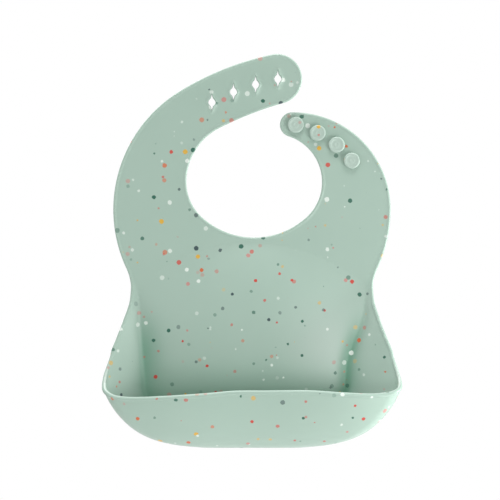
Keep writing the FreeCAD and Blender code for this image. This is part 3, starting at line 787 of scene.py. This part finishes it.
# The peg's half-profile: distance from its axis, and height above the front of the sheet.
PEG_PROFILE = [
    (5.6, -0.35), (4.8, 0.0), (3.9, 0.25), (3.25, 0.8), (3.0, 1.6), (3.0, 2.45), (3.4, 2.8), (4.9, 2.85),
    (5.7, 3.0), (6.0, 3.55), (6.02, 4.2), (5.85, 4.75), (5.4, 5.1), (4.8, 5.15), (4.3, 5.0), (3.8, 4.82),
    (3.0, 4.75), (2.3, 4.8), (1.8, 4.92), (1.3, 4.92), (0.9, 4.82), (0.5, 4.75), (0.0, 4.73),
]


def softened(points, rounds):
    """Corner cutting: each round replaces every inner corner by two points."""
    points = np.array(points, float)
    for _ in range(rounds):
        a, b = points[:-1], points[1:]
        middle = np.stack([a * 0.75 + b * 0.25, a * 0.25 + b * 0.75], axis=1).reshape(-1, 2)
        points = np.vstack([points[:1], middle[1:-1], points[-1:]])
    return points


def make_peg(name, centre):
    """A mushroom peg turned about its axis, with a raised ring and a small nipple on its head."""
    profile = softened(PEG_PROFILE, 2)
    around = 72
    angles = np.linspace(0, 2 * math.pi, around, endpoint=False)
    places, faces = [], []
    for radius, height in profile[:-1]:
        places.append(np.column_stack([
            centre[0] + radius * np.cos(angles),
            np.full(around, SHEET_FRONT - height),
            centre[1] + radius * np.sin(angles)]))
    places = np.vstack(places + [[[centre[0], SHEET_FRONT - profile[-1][1], centre[1]]]])
    rows = len(profile) - 1
    for row in range(rows - 1):
        for step in range(around):
            onward = (step + 1) % around
            faces.append([row * around + step, row * around + onward,
                          (row + 1) * around + onward, (row + 1) * around + step])
    tip, last = len(places) - 1, (rows - 1) * around
    faces += [[last + step, last + (step + 1) % around, tip] for step in range(around)]
    # The pegs' colour is made paler all over: a painted highlight.
    return make_object(name, places * MM, faces, np.full(len(places), -PEG_PAINTED_HIGHLIGHT))


# ---------------------------------------------------------------- silicone

def srgb(red, green, blue):
    """A colour given as seen on a screen, 0 to 255, as the linear values that a shader takes."""
    channels = [value / 255 for value in (red, green, blue)]
    return [c / 12.92 if c <= 0.04045 else ((c + 0.055) / 1.055) ** 2.4 for c in channels] + [1.0]


SAGE = srgb(156, 180, 167)
SAGE_WARM = srgb(159, 182, 169)
# The darker sage that is mixed in as painted shade; mixed the other way it gives painted highlights.
SAGE_PAINTED_SHADE = srgb(124, 161, 142)
CORAL, ORANGE, MUSTARD = srgb(192, 66, 54), srgb(198, 100, 58), srgb(208, 164, 62)
PINE, SLATE, CREAM, ROSE = srgb(40, 96, 78), srgb(58, 78, 80), srgb(212, 222, 214), srgb(186, 136, 128)
FLECK_COLOURS = [CORAL, PINE, CREAM, CORAL, SLATE, MUSTARD, CREAM, ROSE, ORANGE, PINE]


# Specks come in two layers: spacing, radius, strength and an offset that keeps the layers apart.
FLECK_LAYERS = [(9.2, 1.65, 1.0, 0.0), (11.0, 1.6, 0.55, 0.137)]


class Tree:
    """Short ways to add and join the nodes of a node tree."""

    def __init__(self, tree):
        self.nodes, self.links = tree.nodes, tree.links

    def add(self, kind, **settings):
        node = self.nodes.new(kind)
        for key, value in settings.items():
            setattr(node, key, value)
        return node

    def join(self, source, target):
        self.links.new(source, target)

    def attribute(self, name, output):
        node = self.add("ShaderNodeAttribute", attribute_type="GEOMETRY", attribute_name=name)
        return node.outputs[output]

    def noise(self, place, scale, detail):
        node = self.add("ShaderNodeTexNoise", noise_dimensions="3D")
        node.inputs["Scale"].default_value = scale
        node.inputs["Detail"].default_value = detail
        self.join(place, node.inputs["Vector"])
        return node

    def bump(self, height, strength, distance):
        node = self.add("ShaderNodeBump")
        node.inputs["Strength"].default_value = strength
        node.inputs["Distance"].default_value = distance
        self.join(height.outputs["Fac"], node.inputs["Height"])
        return node

    def maths(self, operation, first, second=None, clamp=False):
        node = self.add("ShaderNodeMath", operation=operation, use_clamp=clamp)
        for socket, value in zip(node.inputs, (first, second)):
            if isinstance(value, (int, float)):
                socket.default_value = value
            elif value is not None:
                self.join(value, socket)
        return node.outputs[0]

    def mix(self, share, first, second):
        node = self.add("ShaderNodeMix", data_type="RGBA")
        for name, value in (("Factor", share), ("A", first), ("B", second)):
            socket = next(item for item in node.inputs if item.name == name and (
                item.type == "VALUE" if name == "Factor" else item.type == "RGBA"))
            if isinstance(value, (list, tuple, float, int)):
                socket.default_value = value
            else:
                self.join(value, socket)
        return next(item for item in node.outputs if item.type == "RGBA")


def fleck_layer(tree, place, spacing, radius, strength, shift):
    """Specks scattered through the rubber: (how much of one shows here, its colour)."""
    moved = tree.add("ShaderNodeVectorMath", operation="ADD")
    tree.join(place, moved.inputs[0])
    moved.inputs[1].default_value = (shift, shift * 1.7, shift * 0.6)
    cells = tree.add("ShaderNodeTexVoronoi", voronoi_dimensions="3D", feature="F1")
    cells.inputs["Scale"].default_value = 1 / (spacing * MM)
    tree.join(moved.outputs[0], cells.inputs["Vector"])
    # Sizes differ from speck to speck.
    pick = tree.add("ShaderNodeSeparateColor")
    tree.join(cells.outputs["Color"], pick.inputs[0])
    reach = tree.maths("MULTIPLY_ADD", pick.outputs[1], radius / spacing * 0.55)
    reach.node.inputs[2].default_value = radius / spacing * 0.7
    gap = tree.maths("SUBTRACT", reach, cells.outputs["Distance"])
    edge = tree.maths("DIVIDE", gap, 0.3 / spacing, clamp=True)
    # Some lie just under the skin and show faintly.
    faint = tree.maths("MULTIPLY_ADD", pick.outputs[2], 0.9)
    faint.node.inputs[2].default_value = 0.5
    shown = tree.maths("MULTIPLY", edge, tree.maths("MULTIPLY", faint, strength, clamp=True), clamp=True)
    colours = tree.add("ShaderNodeValToRGB")
    colours.color_ramp.interpolation = "CONSTANT"
    stops = colours.color_ramp.elements
    while len(stops) < len(FLECK_COLOURS):
        stops.new(0.5)
    for number, colour in enumerate(FLECK_COLOURS):
        stops[number].position = number / len(FLECK_COLOURS)
        stops[number].color = colour
    tree.join(pick.outputs[0], colours.inputs[0])
    return shown, colours.outputs[0]


def make_silicone():
    """Matt sage-green silicone with mixed specks moulded in."""
    material = bpy.data.materials.new("sage_silicone")
    material.use_nodes = True
    tree = Tree(material.node_tree)
    shader = next(node for node in tree.nodes if node.type == "BSDF_PRINCIPLED")
    place = tree.attribute(MOULDED, "Vector")

    # A small wobble keeps the specks from being perfect circles.
    wobble = tree.noise(place, 900.0, 1.0)
    jitter = tree.add("ShaderNodeVectorMath", operation="MULTIPLY_ADD")
    tree.join(wobble.outputs["Color"], jitter.inputs[0])
    jitter.inputs[1].default_value = (0.7 * MM,) * 3
    tree.join(place, jitter.inputs[2])
    rough_place = jitter.outputs[0]

    clouds = tree.noise(place, 28.0, 3.0)
    painted_light_field = tree.attribute(PAINTED_LIGHT, "Fac")
    # The painted shade goes above 1 and the painted highlight below 0, so this mix isn't held to that range.
    colour = tree.mix(painted_light_field, tree.mix(clouds.outputs["Fac"], SAGE, SAGE_WARM), SAGE_PAINTED_SHADE)
    colour.node.clamp_factor = False
    for layer in FLECK_LAYERS:
        shown, fleck = fleck_layer(tree, rough_place, *layer)
        colour = tree.mix(shown, colour, fleck)
    tree.join(colour, shader.inputs["Base Color"])

    # A fine moulded grain, and a slow unevenness that softens the reflections.
    grain = tree.bump(tree.noise(place, 2600.0, 3.0), 0.10, 0.00006)
    swell = tree.bump(tree.noise(place, 60.0, 1.0), 0.25, 0.0004)
    tree.join(grain.outputs[0], swell.inputs["Normal"])
    tree.join(swell.outputs[0], shader.inputs["Normal"])

    satin = tree.add("ShaderNodeMapRange")
    satin.inputs["To Min"].default_value = 0.38
    satin.inputs["To Max"].default_value = 0.50
    tree.join(clouds.outputs["Fac"], satin.inputs["Value"])
    tree.join(satin.outputs[0], shader.inputs["Roughness"])
    shader.inputs["Specular IOR Level"].default_value = 0.5
    shader.inputs["Sheen Weight"].default_value = 0.2
    shader.inputs["Sheen Roughness"].default_value = 0.4
    return material


# ---------------------------------------------------------------- bodies and joints

# How far a bend spreads on each side of its joint. The straps' values run from root to tip.
HOLE_STRAP_REACH = [12.2, 12.4, 11.8, 15.0]
PEG_STRAP_REACH = [8.0, 5.0, 8.5]


def joint_line(name):
    """A joint's place in metres and its axis, from the part's record."""
    joint = next(item for item in frame["record"]["behaviour"]["joints"] if item["name"] == name)
    return np.array(joint["pos_m"]), np.array(joint["axis"])


def blend_over(piece, joint, bends_forward=False):
    """Works out a joint's line and the way a bend about it would turn, and bakes the piece's placing into its
    mesh; the piece is not bent.
    """
    place, axis = joint_line(joint)
    onward = np.cross(axis, [0.0, 1.0 if bends_forward else -1.0, 0.0])
    onward = onward / np.linalg.norm(onward)
    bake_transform(piece)


def assemble():
    """Makes every piece, hangs the pegs on their bodies, and hides the model's parts that the pieces take the
    place of.
    """
    silicone = make_silicone()
    pieces = make_pieces()
    for piece in pieces.values():
        piece.data.materials.append(silicone)

    for strap, reaches in (("hole_strap", HOLE_STRAP_REACH), ("peg_strap", PEG_STRAP_REACH)):
        for number, reach in enumerate(reaches, start=1):
            blend_over(pieces[f"{strap}_sheet_{number}"], f"{strap}_bend_{number}")
    blend_over(pieces["chest_sheet"], "chest_fold_upper",
               bends_forward=True)
    blend_over(pieces["fold_sheet"], "chest_fold_lower",
               bends_forward=True)
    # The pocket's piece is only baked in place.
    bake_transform(pieces["pocket_sheet"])

    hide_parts("chest_panel")
    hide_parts("chest_fold_strip")
    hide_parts("lower_panel", "left_wing", "right_wing", "pocket_left_side",
                "pocket_right_side", "pocket_floor", "pocket_front", "pocket_rim")
    hole_nodes = ["hole_strap_root", "hole_strap_bend", "hole_strap_inner_eyelets", "hole_strap_end"]
    for number, node in enumerate(hole_nodes, start=1):
        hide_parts(node)
    for number, node in enumerate(["peg_strap_root", "peg_strap_middle", "peg_strap_end"], start=1):
        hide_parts(node)

    for number, (centre, body) in enumerate(zip(PEG_CENTRES, PEG_BODIES), start=1):
        peg = make_peg(f"moulded_peg_{number}", centre)
        peg.data.materials.append(silicone)
        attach(peg, body)
        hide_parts(f"peg_{number}")


# ---------------------------------------------------------------- camera, floor and light

# Metres here. The frame's width is measured at the bib.
CAMERA_AWAY = 1.6
FRAME_WIDTH = 0.380
FRAME_MIDDLE = (-0.0015, -0.0517)
LIT_PLACE = (0.0, 0.0, -0.1)
FLOOR_HALF, FLOOR_LEVEL = 1.4, -0.75
AMBIENT = 0.42

# Name, degrees to the right of the front, degrees up, distance, width and watts.
LIGHTS = [
    ("key", 35.0, -10.0, 0.85, 0.4, 2.95),
    ("left_fill", -38.0, 10.0, 1.8, 1.0, 2.5),
    ("left_side", -78.0, 10.0, 1.2, 0.5, 2.8),
    ("upper_fill", 8.0, 48.0, 1.7, 0.8, 6.8),
    ("side", 92.0, -5.0, 1.2, 0.5, 16.0),
    ("top", 180.0, 86.0, 1.5, 0.4, 20.0),
    ("back", 205.0, 25.0, 1.7, 0.9, 8.0),
]


def set_stage():
    """The camera, a white backdrop, soft lights and a pale floor."""
    scene = bpy.context.scene
    scene.view_settings.view_transform = "Standard"
    scene.view_settings.look = "None"

    lens = bpy.data.cameras.new("camera")
    lens.sensor_width = 36.0
    lens.lens = lens.sensor_width * CAMERA_AWAY / FRAME_WIDTH
    camera = bpy.data.objects.new("camera", lens)
    camera.location = (FRAME_MIDDLE[0], -CAMERA_AWAY, FRAME_MIDDLE[1])
    camera.rotation_euler = (math.pi / 2, 0, 0)
    scene.collection.objects.link(camera)
    scene.camera = camera

    world = bpy.data.worlds.new("studio")
    scene.world = world
    world.use_nodes = True
    # The backdrop looks white; the light that it sheds is softer.
    tree = Tree(world.node_tree)
    backdrop = next(node for node in tree.nodes if node.type == "BACKGROUND")
    seen = tree.add("ShaderNodeLightPath").outputs["Is Camera Ray"]
    backdrop.inputs["Color"].default_value = (1, 1, 1, 1)
    glow = tree.maths("MULTIPLY_ADD", seen, 1.0 - AMBIENT)
    glow.node.inputs[2].default_value = AMBIENT
    tree.join(glow, backdrop.inputs["Strength"])

    for name, aside, above, away, width, watts in LIGHTS:
        aside, above = math.radians(aside), math.radians(above)
        data = bpy.data.lights.new(name, "AREA")
        data.shape = "DISK"
        data.size = width
        data.energy = watts
        lamp = bpy.data.objects.new(name, data)
        level = math.cos(above)
        toward = Vector((math.sin(aside) * level, -math.cos(aside) * level, math.sin(above)))
        lamp.location = Vector(LIT_PLACE) + toward * away
        lamp.rotation_euler = toward.to_track_quat("Z", "Y").to_euler()
        scene.collection.objects.link(lamp)

    corners = [(x * FLOOR_HALF, y * FLOOR_HALF, FLOOR_LEVEL) for x, y in ((-1, -1), (1, -1), (1, 1), (-1, 1))]
    mesh = bpy.data.meshes.new("floor")
    mesh.from_pydata(corners, [], [(0, 1, 2, 3)])
    floor = bpy.data.objects.new("floor", mesh)
    scene.collection.objects.link(floor)
    paint = bpy.data.materials.new("pale_floor")
    paint.use_nodes = True
    matt = paint.node_tree.nodes["Principled BSDF"]
    matt.inputs["Base Color"].default_value = (0.8, 0.8, 0.8, 1)
    matt.inputs["Roughness"].default_value = 0.9
    mesh.materials.append(paint)


set_stage()
assemble()
